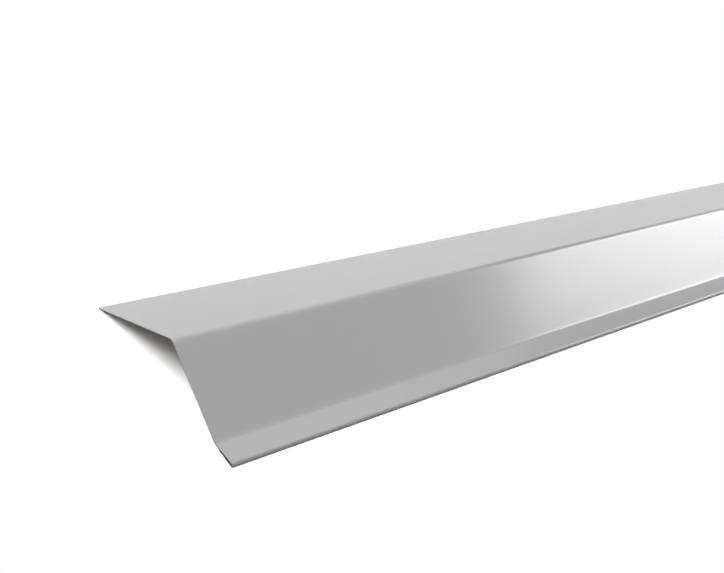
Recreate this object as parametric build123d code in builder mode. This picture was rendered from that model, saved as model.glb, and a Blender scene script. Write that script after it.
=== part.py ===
from build123d import *
import os
from math import acos, asin, atan2, cos, degrees, hypot, radians, sin, tan

# Drip edge flashing: one length of thin painted steel sheet, folded along its whole length.
#
# A wide flange lies on the roof deck. The face turns down from it over the eave, the drip lip
# kicks out again below, and a hem is folded back under the lip to stiffen its edge. The hem is
# a teardrop: round at the nose, so that the paint doesn't crack, and nearly closed at its end.
#
# The part lies as it does unheld on a level floor: on the flange's back edge and on the hem,
# with the eave bend uppermost. +X runs along the length, -Y points towards the drip lip and
# +Z is up. The origin is on the floor, at the middle of the footprint. Lengths are in
# millimetres and angles in degrees.

# Stock
stock_length = 2000.0
sheet_thickness = 0.5

# Widths on the painted side, to the sharp corners that the bends round off and to the hem's nose
flange_width = 132.0
face_width = 48.0
lip_width = 15.5
hem_width = 12.0

# Bends: the angle that each turns the sheet through, and its radius on the inside of the turn
eave_bend_angle = 48.0
eave_inside_radius = 7.0
lip_bend_angle = 35.0
lip_inside_radius = 5.0

# Gap between the lip and the hem, across the round nose and at the hem's end
hem_nose_gap = 1.0
hem_end_gap = 0.2

# Radii on the painted side, which is outside the eave bend and the hem and inside the lip bend
eave_radius = eave_inside_radius + sheet_thickness
lip_radius = lip_inside_radius
hem_radius = hem_nose_gap / 2 + sheet_thickness

# Flat stretches left between the bends
eave_setback = eave_radius * tan(radians(eave_bend_angle / 2))
lip_setback = lip_radius * tan(radians(lip_bend_angle / 2))
flange_flat = flange_width - eave_setback
face_flat = face_width - eave_setback - lip_setback
lip_flat = lip_width - lip_setback - hem_radius
hem_flat = hem_width - hem_radius

# Angle past a half turn that brings the hem's end up to its gap from the lip
nose_to_end = hypot(hem_flat, hem_nose_gap / 2)
end_below_centre = hem_end_gap - hem_nose_gap / 2
hem_closing_angle = degrees(acos(end_below_centre / nose_to_end) - atan2(hem_flat, hem_nose_gap / 2))

# Section, drawn with the flange level: the painted side from the flange's back edge round to
# the end of the hem, each stretch leaving the last one on its tangent, then the sheet's thickness
with BuildLine() as section_outline:
    flange = Line((0, 0), (flange_flat, 0))
    eave_bend = JernArc(flange @ 1, flange % 1, eave_radius, -eave_bend_angle)
    face = PolarLine(eave_bend @ 1, face_flat, direction=eave_bend % 1)
    lip_bend = JernArc(face @ 1, face % 1, lip_radius, lip_bend_angle)
    lip = PolarLine(lip_bend @ 1, lip_flat, direction=lip_bend % 1)
    hem_fold = JernArc(lip @ 1, lip % 1, hem_radius, -180 - hem_closing_angle)
    hem = PolarLine(hem_fold @ 1, hem_flat, direction=hem_fold % 1)
    offset(amount=sheet_thickness, side=Side.RIGHT)

# Resting pose: the floor is the lowest line from the heel, the lower corner of the back edge,
# to the outside of the hem fold or to the end of the hem
heel = Vector(0, -sheet_thickness)
to_fold = hem_fold.arc_center - heel
to_hem_end = hem @ 1 - heel
slope_to_fold = atan2(to_fold.Y, to_fold.X) - asin(hem_radius / to_fold.length)
slope_to_hem_end = atan2(to_hem_end.Y, to_hem_end.X)
rest_tilt = -min(slope_to_fold, slope_to_hem_end)

# Footprint across the sheet, from the back edge to the nose of the hem
nose = hem_fold.arc_center.rotate(Axis.Z, degrees(rest_tilt)).X + hem_radius

section_plane = Plane(
    origin=(0, nose / 2, sheet_thickness * cos(rest_tilt)),
    x_dir=(0, -cos(rest_tilt), sin(rest_tilt)),
    z_dir=(-1, 0, 0),
)

with BuildPart() as drip_edge:
    with BuildSketch(section_plane):
        add(section_outline.line)
        make_face()
    extrude(amount=stock_length / 2, both=True)

drip_edge.part.label = "drip_edge"

os.makedirs("parts", exist_ok=True)
export_step(drip_edge.part, "parts/drip_edge.step")
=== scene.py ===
"""Looks of a drip edge flashing: one folded sheet of colour-coated steel on a pale studio floor.

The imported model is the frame: +X runs along the flashing, -Y points towards the drip lip and +Z
is up, with the origin on the floor at the middle of the footprint. Lengths are in metres.
"""

from __future__ import annotations

import logging
import math
from collections.abc import Mapping
from dataclasses import dataclass, field
from enum import Enum, IntEnum, auto
from typing import Any

import bmesh
import bpy
from mathutils import Matrix, Vector, noise


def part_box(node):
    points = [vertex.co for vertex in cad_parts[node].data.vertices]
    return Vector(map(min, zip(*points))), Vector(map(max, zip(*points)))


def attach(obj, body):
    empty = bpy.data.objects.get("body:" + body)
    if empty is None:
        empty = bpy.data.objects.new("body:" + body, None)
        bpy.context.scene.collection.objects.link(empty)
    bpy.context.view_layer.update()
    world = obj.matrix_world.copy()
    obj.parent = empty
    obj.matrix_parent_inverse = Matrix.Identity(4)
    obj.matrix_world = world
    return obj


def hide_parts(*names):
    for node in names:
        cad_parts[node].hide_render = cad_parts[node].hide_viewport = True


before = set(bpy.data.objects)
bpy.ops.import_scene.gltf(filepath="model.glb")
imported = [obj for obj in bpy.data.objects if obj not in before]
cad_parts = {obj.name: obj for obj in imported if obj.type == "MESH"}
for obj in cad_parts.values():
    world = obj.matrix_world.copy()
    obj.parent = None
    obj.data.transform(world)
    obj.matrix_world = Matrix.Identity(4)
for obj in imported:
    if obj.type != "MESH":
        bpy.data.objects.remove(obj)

LOG = logging.getLogger("drip_edge_looks")
CAD_NODE = "drip_edge"
BODY = "root"

MILLIMETRE = 0.001
DOWN = Vector((0, 0, -1))
TOWARDS_LIP = Vector((0, -1, 0))

# Names of the mesh layers that hold the sheet's unfolded coordinates
DEVELOPED_UV = "developed"
ACROSS_LAYER = "across"

# A Mix node's sockets for colours, which share their names with those for numbers
MIX_FIRST_COLOUR = 6
MIX_SECOND_COLOUR = 7
MIXED_COLOUR = 2

# The level round which a noise texture varies
NOISE_MIDDLE = 0.5

Colour = tuple[float, float, float]
Scale = tuple[float, float, float]

WHITE: Colour = (1.0, 1.0, 1.0)


def rgba(colour: Colour) -> tuple[float, float, float, float]:
    """The opaque colour that a colour socket takes."""
    return (*colour, 1.0)


def add_mesh(name: str, shape: bmesh.types.BMesh) -> bpy.types.Object:
    """Puts a finished shape into the scene and frees its bmesh.

    Args:
        name: the name of the new mesh and of its object.
        shape: the shape, in the frame's own coordinates.

    Returns:
        The new object, at the origin.
    """
    mesh = bpy.data.meshes.new(name)
    shape.to_mesh(mesh)
    shape.free()
    added = bpy.data.objects.new(name, mesh)
    bpy.context.scene.collection.objects.link(added)
    return added


def add_aimed(name: str, what: bpy.types.ID, place: Vector, ahead: Vector) -> bpy.types.Object:
    """Puts a lamp or a camera into the scene.

    Args:
        name: the new object's name.
        what: the lamp's or the camera's own data.
        place: where it stands.
        ahead: the direction in which it shines or looks.

    Returns:
        The new object.
    """
    added = bpy.data.objects.new(name, what)
    added.location = place
    added.rotation_mode = "QUATERNION"
    added.rotation_quaternion = ahead.to_track_quat("-Z", "Y")
    bpy.context.scene.collection.objects.link(added)
    return added


def corner_rank(item: bmesh.types.BMEdge | bmesh.types.BMFace, count: int) -> int:
    """Ranks an edge among a mesh's edges, or a face among its faces.

    Args:
        item: the edge or the face.
        count: how many vertices the mesh has.

    Returns:
        A number that follows from the first and the last of its corners.
    """
    corners = [vert.index for vert in item.verts]
    return min(corners) * count + max(corners)


class Signal:
    """One number that a shader works out, with arithmetic that adds the Math nodes it needs."""

    def __init__(self, shader: Shader, socket: bpy.types.NodeSocket) -> None:
        """Wraps a socket of the shader's tree.

        Args:
            shader: the shader that owns the socket.
            socket: an output socket that carries one number.
        """
        self.shader = shader
        self.socket = socket

    def _math(self, operation: str, first: Number, second: Number) -> Signal:
        """A Math node's result as a new signal."""
        made = self.shader.node("ShaderNodeMath", {"operation": operation}, {0: first, 1: second})
        return Signal(self.shader, made.outputs[0])

    def __add__(self, other: Number) -> Signal:
        """self + other."""
        return self._math("ADD", self, other)

    def __radd__(self, other: Number) -> Signal:
        """other + self."""
        return self._math("ADD", other, self)

    def __sub__(self, other: Number) -> Signal:
        """self - other."""
        return self._math("SUBTRACT", self, other)

    def __rsub__(self, other: Number) -> Signal:
        """other - self."""
        return self._math("SUBTRACT", other, self)

    def __mul__(self, other: Number) -> Signal:
        """self * other."""
        return self._math("MULTIPLY", self, other)

    def __rmul__(self, other: Number) -> Signal:
        """other * self."""
        return self._math("MULTIPLY", other, self)


Number = Signal | float


def varied(level: float, grain: Signal, spread: float) -> Signal:
    """The level, moved up and down over that spread by noise from 0 to 1."""
    return level + (grain - NOISE_MIDDLE) * spread


class Shader:
    """A material's or the world's node tree, with one way of adding each kind of thing."""

    def __init__(self, tree: bpy.types.NodeTree) -> None:
        """Empties the tree.

        Args:
            tree: the node tree to build in.
        """
        self.tree = tree
        self.tree.nodes.clear()

    @classmethod
    def of_material(cls, name: str) -> tuple[bpy.types.Material, Shader]:
        """Starts a material.

        Args:
            name: the new material's name.

        Returns:
            The material and the shader to build it with.
        """
        material = bpy.data.materials.new(name)
        material.use_nodes = True
        return material, cls(material.node_tree)

    def node(
        self,
        kind: str,
        settings: Mapping[str, Any] | None = None,
        sockets: Mapping[str | int, Any] | None = None,
    ) -> bpy.types.Node:
        """Adds a node.

        Args:
            kind: the node's type.
            settings: its own properties, set before its sockets.
            sockets: values, signals or output sockets for its inputs, by name or index.

        Returns:
            The new node.
        """
        made = self.tree.nodes.new(kind)
        for name, value in (settings or {}).items():
            setattr(made, name, value)
        for key, value in (sockets or {}).items():
            self._feed(made.inputs[key], value)
        return made

    def _feed(self, socket: bpy.types.NodeSocket, value: Any) -> None:
        """Fills an input socket.

        Args:
            socket: the input socket.
            value: a signal or an output socket to link to it, or the plain value to give it.
        """
        if isinstance(value, Signal):
            value = value.socket
        if isinstance(value, bpy.types.NodeSocket):
            self.tree.links.new(value, socket)
        else:
            socket.default_value = value

    def signal(self, node: bpy.types.Node, output: str | int = 0) -> Signal:
        """A node's output as a signal."""
        return Signal(self, node.outputs[output])

    def rays(self) -> tuple[Signal, Signal]:
        """Tells the rays that look at a surface from those that light it.

        Returns:
            A signal that is 1 for the camera's rays, and one that is 1 for mirrored and
            refracted rays.
        """
        path = self.node("ShaderNodeLightPath")
        mirrored = self.signal(path, "Is Glossy Ray") + self.signal(path, "Is Transmission Ray")
        return self.signal(path, "Is Camera Ray"), mirrored

    def part(self, vector: bpy.types.NodeSocket, axis: str) -> Signal:
        """One coordinate of a vector, by the name of its axis."""
        return self.signal(self.node("ShaderNodeSeparateXYZ", sockets={0: vector}), axis)

    def length(self, vector: bpy.types.NodeSocket) -> Signal:
        """A vector's length."""
        made = self.node("ShaderNodeVectorMath", {"operation": "LENGTH"}, {0: vector})
        return self.signal(made, "Value")

    def mix_colours(self, share: Number, first: Colour, second: Colour) -> bpy.types.NodeSocket:
        """Mixes two colours.

        Args:
            share: how much of the second there is, from 0 to 1.
            first: the colour that shows where the share is 0.
            second: the colour that shows where it is 1.

        Returns:
            The socket that carries the mixed colour.
        """
        sockets = {0: share, MIX_FIRST_COLOUR: rgba(first), MIX_SECOND_COLOUR: rgba(second)}
        return self.node("ShaderNodeMix", {"data_type": "RGBA"}, sockets).outputs[MIXED_COLOUR]

    def stretched_noise(self, where: bpy.types.NodeSocket, scale: Scale, detail: float) -> Signal:
        """Noise from 0 to 1, stretched over a surface.

        Args:
            where: the coordinates that it is laid out on.
            scale: repeats for each metre along each coordinate.
            detail: how many layers of finer noise are added.

        Returns:
            The noise as a signal.
        """
        laid_out = self.node("ShaderNodeMapping", sockets={"Vector": where, "Scale": scale})
        sockets = {"Vector": laid_out.outputs[0], "Scale": 1.0, "Detail": detail}
        return self.signal(self.node("ShaderNodeTexNoise", sockets=sockets))

    def smooth_step(self, value: Number, low: float, high: float) -> Signal:
        """A smooth rise from 0 to 1.

        Args:
            value: what the rise follows.
            low: the value up to which it is 0.
            high: the value from which it is 1.

        Returns:
            The rise as a signal.
        """
        settings = {"interpolation_type": "SMOOTHSTEP"}
        sockets = {"Value": value, "From Min": low, "From Max": high}
        return self.signal(self.node("ShaderNodeMapRange", settings, sockets))

    def end_with(self, surface: bpy.types.Node) -> None:
        """Ends the material with that surface."""
        self.node("ShaderNodeOutputMaterial", sockets={"Surface": surface.outputs[0]})

    def end_with_principled(self, sockets: Mapping[str, Any]) -> None:
        """Ends the material with a Principled surface that has those sockets."""
        self.end_with(self.node("ShaderNodeBsdfPrincipled", sockets=sockets))


class SheetSide(IntEnum):
    """The sheet's surfaces, numbered as its material slots."""

    COLOUR_COAT = 0
    BACKING_COAT = 1
    CUT_EDGE = 2


@dataclass(frozen=True)
class ColourCoat:
    """The light grey polyester coat that was rolled and baked on to the coil's outer side.

    It has faint clouds of colour, fine tracks along the sheet from rolling, and a peel.
    """

    grey: Colour = (0.515, 0.514, 0.522)
    cloudy_grey: Colour = (0.50, 0.499, 0.507)
    cloud_scale: Scale = (3.0, 14.0, 1.0)
    cloud_detail: float = 3.0
    roughness: float = 0.2
    track_scale: Scale = (0.8, 520.0, 1.0)
    track_detail: float = 2.0
    track_roughness: float = 0.025
    peel_size: float = 1.4 * MILLIMETRE
    peel_depth: float = 0.006 * MILLIMETRE
    peel_detail: float = 1.0

    def material(self) -> bpy.types.Material:
        """Makes the finish.

        Returns:
            A material that is laid out on the developed sheet.
        """
        material, shader = Shader.of_material("colour_coat")
        where = shader.node("ShaderNodeUVMap", {"uv_map": DEVELOPED_UV}).outputs[0]
        clouds = shader.stretched_noise(where, self.cloud_scale, self.cloud_detail)
        tracks = shader.stretched_noise(where, self.track_scale, self.track_detail)
        peel = shader.stretched_noise(where, (1 / self.peel_size,) * 3, self.peel_detail)
        bump = {"Strength": 1.0, "Distance": self.peel_depth, "Height": peel}
        relief = shader.node("ShaderNodeBump", sockets=bump)
        shader.end_with_principled(
            {
                "Base Color": shader.mix_colours(clouds, self.grey, self.cloudy_grey),
                "Roughness": varied(self.roughness, tracks, self.track_roughness),
                "Normal": relief.outputs[0],
            }
        )
        return material


@dataclass(frozen=True)
class BackingCoat:
    """The thin, duller coat on the coil's inner side, thinnest along streaks and in spots."""

    grey: Colour = (0.17, 0.152, 0.13)
    thin_grey: Colour = (0.15, 0.133, 0.111)
    streak_scale: Scale = (1.5, 90.0, 1.0)
    streak_detail: float = 4.0
    streak_share: float = 0.5
    mottle_scale: Scale = (60.0, 60.0, 1.0)
    mottle_detail: float = 3.0
    thinning_starts: float = 0.4
    thinning_ends: float = 0.7
    roughness: float = 0.55
    mottle_roughness: float = 0.1

    def material(self) -> bpy.types.Material:
        """Makes the finish.

        Returns:
            A material that is laid out on the developed sheet.
        """
        material, shader = Shader.of_material("backing_coat")
        where = shader.node("ShaderNodeUVMap", {"uv_map": DEVELOPED_UV}).outputs[0]
        streaks = shader.stretched_noise(where, self.streak_scale, self.streak_detail)
        mottle = shader.stretched_noise(where, self.mottle_scale, self.mottle_detail)
        unevenness = streaks * self.streak_share + mottle * (1 - self.streak_share)
        thinness = shader.smooth_step(unevenness, self.thinning_starts, self.thinning_ends)
        shader.end_with_principled(
            {
                "Base Color": shader.mix_colours(thinness, self.grey, self.thin_grey),
                "Roughness": varied(self.roughness, mottle, self.mottle_roughness),
            }
        )
        return material


@dataclass(frozen=True)
class CutEdge:
    """The bare sheared edge of the zinc-coated steel between the two coats, its colour darkened
    as painted shade so that the sheet's cut ends show as dark shaded lines.
    """

    # Painted shade: the steel is much darker than bare zinc-coated steel and stands in for the
    # shade along the cut edges.
    steel: Colour = (0.19, 0.19, 0.185)
    metallic: float = 0.3
    roughness: float = 0.45
    mark_scale: Scale = (900.0, 900.0, 900.0)
    mark_detail: float = 2.0
    mark_roughness: float = 0.3

    def material(self) -> bpy.types.Material:
        """Makes the finish.

        Returns:
            A material with the shear's fine marks.
        """
        material, shader = Shader.of_material("cut_edge")
        where = shader.node("ShaderNodeTexCoord").outputs["Object"]
        marks = shader.stretched_noise(where, self.mark_scale, self.mark_detail)
        shader.end_with_principled(
            {
                "Base Color": rgba(self.steel),
                "Metallic": self.metallic,
                "Roughness": varied(self.roughness, marks, self.mark_roughness),
            }
        )
        return material


@dataclass
class FoldedSheet:
    """The flashing: one edge at the flange's back, drawn out stretch by stretch to the hem.

    The section is walked with the flange level and then tilted to lie on the floor. Widths and
    radii are those of the painted side, and each stretch has its own number of rows of faces.
    """

    length: float
    thickness: float = 0.5 * MILLIMETRE
    flange_width: float = 132 * MILLIMETRE
    face_width: float = 48 * MILLIMETRE
    lip_width: float = 15.5 * MILLIMETRE
    hem_width: float = 12 * MILLIMETRE
    eave_angle: float = math.radians(48)
    eave_radius: float = 7.5 * MILLIMETRE
    lip_angle: float = math.radians(35)
    lip_radius: float = 5 * MILLIMETRE
    hem_nose_gap: float = 1 * MILLIMETRE
    hem_end_gap: float = 0.2 * MILLIMETRE

    wave_depth: float = 0.08 * MILLIMETRE
    wave_length: float = 260 * MILLIMETRE
    edge_rounding: float = 0.06 * MILLIMETRE
    edge_rounding_segments: int = 2
    edge_rounding_from: float = math.radians(60)

    along_step: float = 10 * MILLIMETRE
    flange_rows: int = 16
    eave_rows: int = 14
    face_rows: int = 6
    lip_bend_rows: int = 10
    lip_rows: int = 3
    hem_fold_rows: int = 20
    hem_rows: int = 3
    finest_row: float = 0.1 * MILLIMETRE

    free_edge: list[bmesh.types.BMEdge] = field(default_factory=list, init=False)
    place: Vector = field(default_factory=Vector, init=False)
    heading: Vector = field(default_factory=TOWARDS_LIP.copy, init=False)
    developed: float = field(default=0.0, init=False)

    @property
    def eave_setback(self) -> float:
        """What the eave bend takes off the flange and off the face."""
        return self.eave_radius * math.tan(self.eave_angle / 2)

    @property
    def lip_setback(self) -> float:
        """What the lip bend takes off the face and off the lip."""
        return self.lip_radius * math.tan(self.lip_angle / 2)

    @property
    def flange_flat(self) -> float:
        """The flat part of the flange, from its back edge to the eave bend."""
        return self.flange_width - self.eave_setback

    @property
    def hem_radius(self) -> float:
        """The hem nose's outer radius."""
        return self.hem_nose_gap / 2 + self.thickness

    @property
    def hem_flat(self) -> float:
        """The flat part of the hem, from its nose to its end."""
        return self.hem_width - self.hem_radius

    def hem_closing_angle(self) -> float:
        """Works out how far past a half turn the hem is folded.

        Returns:
            The angle that brings the hem's end up to its gap from the lip.
        """
        half_gap = self.hem_nose_gap / 2
        reach = math.hypot(self.hem_flat, half_gap)
        angle_at_gap = math.acos((self.hem_end_gap - half_gap) / reach)
        return angle_at_gap - math.atan2(self.hem_flat, half_gap)

    def advance(self, sheet: bmesh.types.BMesh, move: Matrix, distance: float) -> None:
        """Grows one row of faces from the free edge.

        Args:
            sheet: the mesh that grows.
            move: what carries the old free edge to the new one.
            distance: the painted side's width that the row adds.
        """
        grown = bmesh.ops.extrude_edge_only(sheet, edges=self.free_edge)["geom"]
        fresh = [item for item in grown if isinstance(item, bmesh.types.BMVert)]
        edges = [item for item in grown if isinstance(item, bmesh.types.BMEdge)]
        ends = set(fresh)
        self.free_edge = [edge for edge in edges if set(edge.verts) <= ends]
        bmesh.ops.transform(sheet, matrix=move, verts=fresh)
        self.developed += distance
        across = sheet.verts.layers.float[ACROSS_LAYER]
        for vert in fresh:
            vert[across] = self.developed

    def straight(self, sheet: bmesh.types.BMesh, width: float, rows: int) -> None:
        """Adds a flat stretch.

        Args:
            sheet: the mesh that grows.
            width: the stretch's width.
            rows: how many rows of faces it has.
        """
        step = self.heading * (width / rows)
        for _ in range(rows):
            self.advance(sheet, Matrix.Translation(step), width / rows)
            self.place += step

    def bend(self, sheet: bmesh.types.BMesh, radius: float, angle: float, rows: int) -> None:
        """Adds a bend.

        Args:
            sheet: the mesh that grows.
            radius: the painted side's radius.
            angle: the turn, positive upwards.
            rows: how many rows of faces it has.
        """
        quarter_turn = math.copysign(math.pi / 2, angle)
        towards_centre = Matrix.Rotation(-quarter_turn, 3, "X") @ self.heading
        centre = self.place + towards_centre * radius
        turn = Matrix.Rotation(-angle / rows, 4, "X")
        move = Matrix.Translation(centre) @ turn @ Matrix.Translation(-centre)
        for _ in range(rows):
            self.advance(sheet, move, abs(angle) * radius / rows)
            self.place = move @ self.place
            self.heading = turn.to_3x3() @ self.heading

    def start(self, sheet: bmesh.types.BMesh) -> None:
        """Lays the flange's back edge, from the near end to the far end.

        Args:
            sheet: the empty mesh.
        """
        sheet.verts.layers.float.new(ACROSS_LAYER)
        ends = [sheet.verts.new((x, 0, 0)) for x in (-self.length / 2, self.length / 2)]
        edge = sheet.edges.new(ends)
        cuts = round(self.length / self.along_step) - 1
        bmesh.ops.subdivide_edges(sheet, edges=[edge], cuts=cuts)
        self.free_edge = list(sheet.edges)

    def fold(self, sheet: bmesh.types.BMesh) -> None:
        """Walks the whole section from the back edge to the end of the hem.

        Args:
            sheet: the mesh that grows, with its back edge laid.
        """
        face_flat = self.face_width - self.eave_setback - self.lip_setback
        lip_flat = self.lip_width - self.lip_setback - self.hem_radius
        hem_turn = -math.pi - self.hem_closing_angle()
        self.straight(sheet, self.flange_flat, self.flange_rows)
        self.bend(sheet, self.eave_radius, -self.eave_angle, self.eave_rows)
        self.straight(sheet, face_flat, self.face_rows)
        self.bend(sheet, self.lip_radius, self.lip_angle, self.lip_bend_rows)
        self.straight(sheet, lip_flat, self.lip_rows)
        self.bend(sheet, self.hem_radius, hem_turn, self.hem_fold_rows)
        self.straight(sheet, self.hem_flat, self.hem_rows)

    def put_in_order(self, sheet: bmesh.types.BMesh) -> None:
        """Numbers the mesh row by row, because extruding makes faces in no fixed order.

        Args:
            sheet: the folded mesh.
        """
        across = sheet.verts.layers.float[ACROSS_LAYER]
        row_weight = self.length / self.finest_row
        sheet.verts.sort(key=lambda vert: vert[across] * row_weight + vert.co.x)
        sheet.verts.index_update()
        count = len(sheet.verts)
        for items in (sheet.edges, sheet.faces):
            items.sort(key=lambda item: corner_rank(item, count))
            items.index_update()

    def nose_centre(self) -> Vector:
        """Finds the centre of the hem's fold, with the flange level.

        Returns:
            Its place, measured from the flange's back edge.
        """
        corner = TOWARDS_LIP * self.flange_width
        face = Matrix.Rotation(self.eave_angle, 3, "X") @ TOWARDS_LIP
        lip = Matrix.Rotation(self.eave_angle - self.lip_angle, 3, "X") @ TOWARDS_LIP
        below = Matrix.Rotation(math.pi / 2, 3, "X") @ lip
        lip_end = corner + face * self.face_width + lip * (self.lip_width - self.hem_radius)
        return lip_end + below * self.hem_radius

    def lay_on_floor(self, sheet: bmesh.types.BMesh) -> None:
        """Tilts the section about its heel until the hem's nose touches the floor.

        Args:
            sheet: the folded mesh, with the flange level.
        """
        nose = self.nose_centre()
        heel = DOWN * self.thickness
        reach = nose - heel
        slope = math.atan2(reach.z, -reach.y) - math.asin(self.hem_radius / reach.length)
        tilt = Matrix.Rotation(slope, 4, "X")
        front = (tilt @ nose).y - self.hem_radius
        lift = -(tilt @ heel).z
        move = Matrix.Translation((0, -front / 2, lift)) @ tilt
        bmesh.ops.transform(sheet, matrix=move, verts=sheet.verts)

    def turn_paint_up(self, sheet: bmesh.types.BMesh) -> None:
        """Makes the faces point out of the painted side.

        Args:
            sheet: the folded mesh, lying on the floor.
        """
        sheet.faces.ensure_lookup_table()
        sheet.normal_update()
        if sheet.faces[0].normal.z < 0:
            bmesh.ops.reverse_faces(sheet, faces=sheet.faces)
            sheet.normal_update()

    def make_waves(self, sheet: bmesh.types.BMesh) -> None:
        """Gives the flange the faint waves that rolled sheet keeps, still at its edge and bend.

        Args:
            sheet: the folded mesh, lying on the floor.
        """
        across = sheet.verts.layers.float[ACROSS_LAYER]
        for vert in sheet.verts:
            share = vert[across] / self.flange_flat
            if share < 1:
                depth = self.wave_depth * math.sin(math.pi * share) ** 2
                spot = Vector((vert.co.x / self.wave_length, share, 0.0))
                vert.co += vert.normal * depth * noise.noise(spot)

    def lay_out(self, sheet: bmesh.types.BMesh) -> None:
        """Smooths the faces and writes the developed sheet's coordinates into the UV map.

        Args:
            sheet: the finished mesh, before it gets its thickness.
        """
        across = sheet.verts.layers.float[ACROSS_LAYER]
        developed = sheet.loops.layers.uv.new(DEVELOPED_UV)
        for face in sheet.faces:
            face.smooth = True
            for loop in face.loops:
                loop[developed].uv = (loop.vert.co.x, loop.vert[across])

    def dress(self, piece: bpy.types.Object) -> None:
        """Gives each side of the sheet its finish.

        Args:
            piece: the folded sheet's object.
        """
        finishes = {
            SheetSide.COLOUR_COAT: ColourCoat(),
            SheetSide.BACKING_COAT: BackingCoat(),
            SheetSide.CUT_EDGE: CutEdge(),
        }
        for side in SheetSide:
            piece.data.materials.append(finishes[side].material())

    def thicken(self, piece: bpy.types.Object) -> None:
        """Adds the steel's thickness under the painted side and breaks its sharp edges.

        Args:
            piece: the folded sheet's object.
        """
        solid = piece.modifiers.new("steel", "SOLIDIFY")
        solid.thickness = self.thickness
        solid.offset = -1
        solid.use_even_offset = True
        solid.material_offset = SheetSide.BACKING_COAT
        solid.material_offset_rim = SheetSide.CUT_EDGE
        broken = piece.modifiers.new("broken_edges", "BEVEL")
        broken.width = self.edge_rounding
        broken.segments = self.edge_rounding_segments
        broken.limit_method = "ANGLE"
        broken.angle_limit = self.edge_rounding_from
        broken.harden_normals = True

    def build(self) -> bpy.types.Object:
        """Folds the sheet, dresses it and gives it its thickness.

        Returns:
            The finished piece, riding on the CAD body in place of the CAD node.
        """
        sheet = bmesh.new()
        self.start(sheet)
        self.fold(sheet)
        self.put_in_order(sheet)
        self.lay_on_floor(sheet)
        self.turn_paint_up(sheet)
        self.make_waves(sheet)
        self.lay_out(sheet)
        piece = add_mesh("folded_sheet", sheet)
        self.dress(piece)
        self.thicken(piece)
        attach(piece, BODY)
        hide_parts(CAD_NODE)
        return piece


@dataclass
class StudioFloor:
    """A pale floor that blows out to white in front of the camera but keeps the object's shadow.

    The shadow that shows lies under the sheet and just beyond its ends. Round it the camera sees
    plain white, so that the sheet's long outlines aren't eaten by an overbright floor. In the
    object's gloss, the floor turns into an even glow further out.
    """

    front: float
    back: float
    end: float
    size: float = 60.0
    pale: float = 0.4
    in_gloss: float = 1.05
    to_camera: float = 4.4
    glow_in_gloss: float = 0.97
    glow_starts: float = 1.15
    glow_is_full: float = 1.9
    outline_fade: float = 0.5 * MILLIMETRE
    end_shadow: float = 20 * MILLIMETRE
    end_fade: float = 100 * MILLIMETRE

    def outside_shadow(self, shader: Shader, where: bpy.types.NodeSocket, away: Signal) -> Signal:
        """Maps where the camera sees plain white.

        Args:
            shader: the floor's shader.
            where: the place on the floor.
            away: its distance from the origin.

        Returns:
            A signal that is 1 beside the sheet and well beyond its ends, and 0 under it.
        """
        across = shader.part(where, "Y")
        behind = shader.smooth_step(across, self.back, self.back + self.outline_fade)
        before = 1 - shader.smooth_step(across, self.front, self.front + self.outline_fade)
        shadow_ends = self.end + self.end_shadow
        beyond = shader.smooth_step(away, shadow_ends, shadow_ends + self.end_fade)
        beside = behind + before
        return beside + (1 - beside) * beyond

    def material(self) -> bpy.types.Material:
        """Makes the finish.

        Returns:
            A material that is plain for the light that falls on the object, and whiter in its
            gloss and to the camera.
        """
        material, shader = Shader.of_material("pale_floor")
        camera, mirrored = shader.rays()
        where = shader.node("ShaderNodeTexCoord").outputs["Object"]
        away = shader.length(where)
        to_camera = camera * (self.to_camera - self.pale)
        in_gloss = mirrored * (self.in_gloss - self.pale)
        colour = self.pale + to_camera + in_gloss
        paper = shader.node("ShaderNodeBsdfDiffuse", sockets={"Color": colour})
        strength = camera + mirrored * self.glow_in_gloss
        glow = shader.node("ShaderNodeEmission", sockets={"Strength": strength})
        far = shader.smooth_step(away, self.glow_starts, self.glow_is_full)
        share = mirrored * far + camera * self.outside_shadow(shader, where, away)
        surfaces = {0: share, 1: paper.outputs[0], 2: glow.outputs[0]}
        shader.end_with(shader.node("ShaderNodeMixShader", sockets=surfaces))
        return material

    def build(self) -> bpy.types.Object:
        """Lays the floor.

        Returns:
            The floor.
        """
        plane = bmesh.new()
        bmesh.ops.create_grid(plane, x_segments=1, y_segments=1, size=self.size / 2)
        floor = add_mesh("studio_floor", plane)
        floor.data.materials.append(self.material())
        return floor


class LampRole(Enum):
    """What a lamp does to the flashing."""

    LIGHTS_SURFACES = auto()
    SHOWS_IN_GLOSS = auto()


@dataclass(frozen=True)
class SoftBox:
    """One rectangular lamp that the camera doesn't see."""

    name: str
    role: LampRole
    place: Vector
    aim: Vector
    width: float
    height: float
    radiance: float
    colour: Colour = WHITE

    def build(self) -> bpy.types.Object:
        """Hangs the lamp, at the power that gives its face the stated radiance.

        Returns:
            The lamp.
        """
        light = bpy.data.lights.new(self.name, "AREA")
        light.shape = "RECTANGLE"
        light.size = self.width
        light.size_y = self.height
        light.color = self.colour
        light.energy = self.radiance * math.pi * self.width * self.height
        lamp = add_aimed(self.name, light, self.place, self.aim - self.place)
        lamp.visible_camera = False
        lamp.visible_diffuse = self.role is LampRole.LIGHTS_SURFACES
        lamp.visible_glossy = self.role is LampRole.SHOWS_IN_GLOSS
        return lamp


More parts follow.
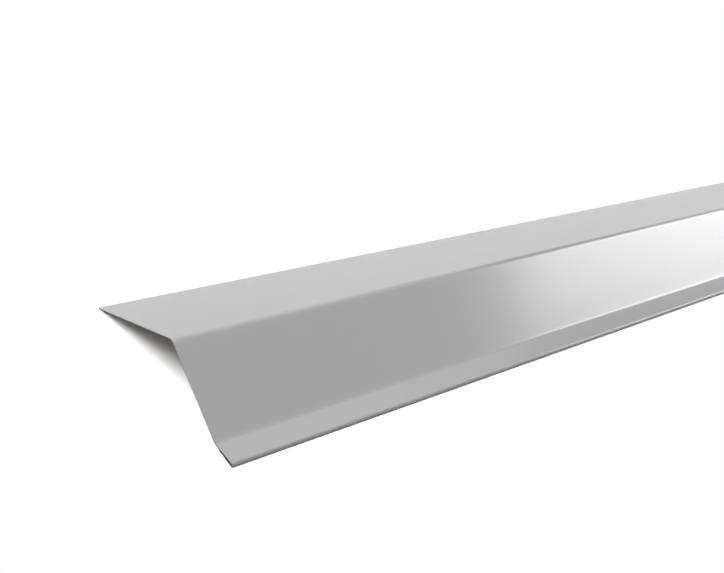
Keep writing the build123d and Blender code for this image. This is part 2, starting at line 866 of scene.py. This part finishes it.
@dataclass
class Studio:
    """The soft light round the flashing, and the white that stands behind it."""

    ambient: float = 0.05
    low_gloss: float = 0.97
    high_gloss: float = 0.2
    haze_low: float = 0.08
    haze_high: float = 0.35

    def build_world(self) -> None:
        """A sky that is white to the camera, and pale above the horizon in the object's gloss."""
        world = bpy.data.worlds.new("studio_world")
        world.use_nodes = True
        bpy.context.scene.world = world
        shader = Shader(world.node_tree)
        camera, mirrored = shader.rays()
        height = shader.part(shader.node("ShaderNodeTexCoord").outputs["Generated"], "Z")
        clear = shader.smooth_step(height, self.haze_low, self.haze_high)
        gloss = self.low_gloss + clear * (self.high_gloss - self.low_gloss)
        unseen = mirrored * gloss + (1 - mirrored) * self.ambient
        light = {"Color": rgba(WHITE), "Strength": camera + (1 - camera) * unseen}
        sky = shader.node("ShaderNodeBackground", sockets=light)
        shader.node("ShaderNodeOutputWorld", sockets={"Surface": sky.outputs[0]})

    def overhead_boxes(self) -> list[SoftBox]:
        """Lists the lamps that light the object from above.

        Returns:
            The main one, and a dimmer one off the near end, which sets how fast the shadow in
            the open end fades.
        """
        main_place = Vector((-0.65, -0.2, 2.2))
        wing_place = Vector((-3.3, -0.2, 2.2))
        return [
            SoftBox(
                "overhead",
                LampRole.LIGHTS_SURFACES,
                place=main_place,
                aim=main_place + DOWN,
                width=4.3,
                height=2.6,
                radiance=1.83,
            ),
            SoftBox(
                "overhead_wing",
                LampRole.LIGHTS_SURFACES,
                place=wing_place,
                aim=wing_place + DOWN,
                width=1.0,
                height=2.6,
                radiance=0.54,
            ),
        ]

    def mirrored_boxes(self) -> list[SoftBox]:
        """Lists the lamps that the paint mirrors.

        Returns:
            A bright panel beyond the far end, which whitens the face, its wing, and the back
            wall with its wing, which show in the flange and the bends.
        """
        panel_aim = Vector((-0.7, -0.05, 0))
        wall_ahead = Vector((-0.88, -2.8, -1.7))
        wall_place = Vector((-0.02, 2.863, 2.0))
        wing_place = Vector((1.5, 2.384, 2.0))
        return [
            SoftBox(
                "end_panel",
                LampRole.SHOWS_IN_GLOSS,
                place=Vector((1.727, 0.015, 1.785)),
                aim=panel_aim,
                width=1.27,
                height=1.22,
                radiance=6.35,
                colour=(0.99, 0.985, 1.0),
            ),
            SoftBox(
                "end_wing",
                LampRole.SHOWS_IN_GLOSS,
                place=Vector((1.353, 0.637, 1.25)),
                aim=panel_aim,
                width=0.36,
                height=0.6,
                radiance=1.5,
            ),
            SoftBox(
                "back_wall",
                LampRole.SHOWS_IN_GLOSS,
                place=wall_place,
                aim=wall_place + wall_ahead,
                width=2.38,
                height=2.6,
                radiance=1.0,
            ),
            SoftBox(
                "back_wing",
                LampRole.SHOWS_IN_GLOSS,
                place=wing_place,
                aim=wing_place + wall_ahead,
                width=0.81,
                height=2.6,
                radiance=0.6,
            ),
        ]

    def build(self) -> None:
        """Builds the world and hangs the lamps."""
        self.build_world()
        for box in self.overhead_boxes() + self.mirrored_boxes():
            LOG.info("hung %s", box.build().name)


@dataclass
class PhotoCamera:
    """The photograph's view: low, off the near end and in front of the drip lip."""

    beyond_near_end: float = 76.8 * MILLIMETRE
    before_nose: float = 196.0 * MILLIMETRE
    height: float = 143.1 * MILLIMETRE
    heading: float = math.radians(56.05)
    pitch: float = math.radians(19.95)
    lens: float = 34.07
    nearest_seen: float = 10 * MILLIMETRE

    def build(self, low: Vector) -> bpy.types.Object:
        """Sets up the scene's camera.

        Args:
            low: the object's lowest corner, at the near end and the nose.

        Returns:
            The camera object.
        """
        view = bpy.data.cameras.new("photo_camera")
        view.lens = self.lens
        view.clip_start = self.nearest_seen
        place = Vector((low.x - self.beyond_near_end, low.y - self.before_nose, self.height))
        ahead = Vector((math.cos(self.heading), math.sin(self.heading), 0)) * math.cos(self.pitch)
        ahead.z = -math.sin(self.pitch)
        camera = add_aimed("photo_camera", view, place, ahead)
        bpy.context.scene.camera = camera
        return camera


def main() -> None:
    """Builds the flashing, the floor, the light and the camera."""
    logging.basicConfig(level=logging.INFO, format="%(name)s: %(message)s")
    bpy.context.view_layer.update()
    low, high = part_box(CAD_NODE)
    LOG.info("folded %s", FoldedSheet(length=high.x - low.x).build().name)
    LOG.info("laid %s", StudioFloor(front=low.y, back=high.y, end=high.x).build().name)
    Studio().build()
    LOG.info("set up %s", PhotoCamera().build(low).name)
    bpy.context.scene.view_settings.view_transform = "Standard"
    bpy.context.view_layer.update()


if __name__ == "__main__":
    main()
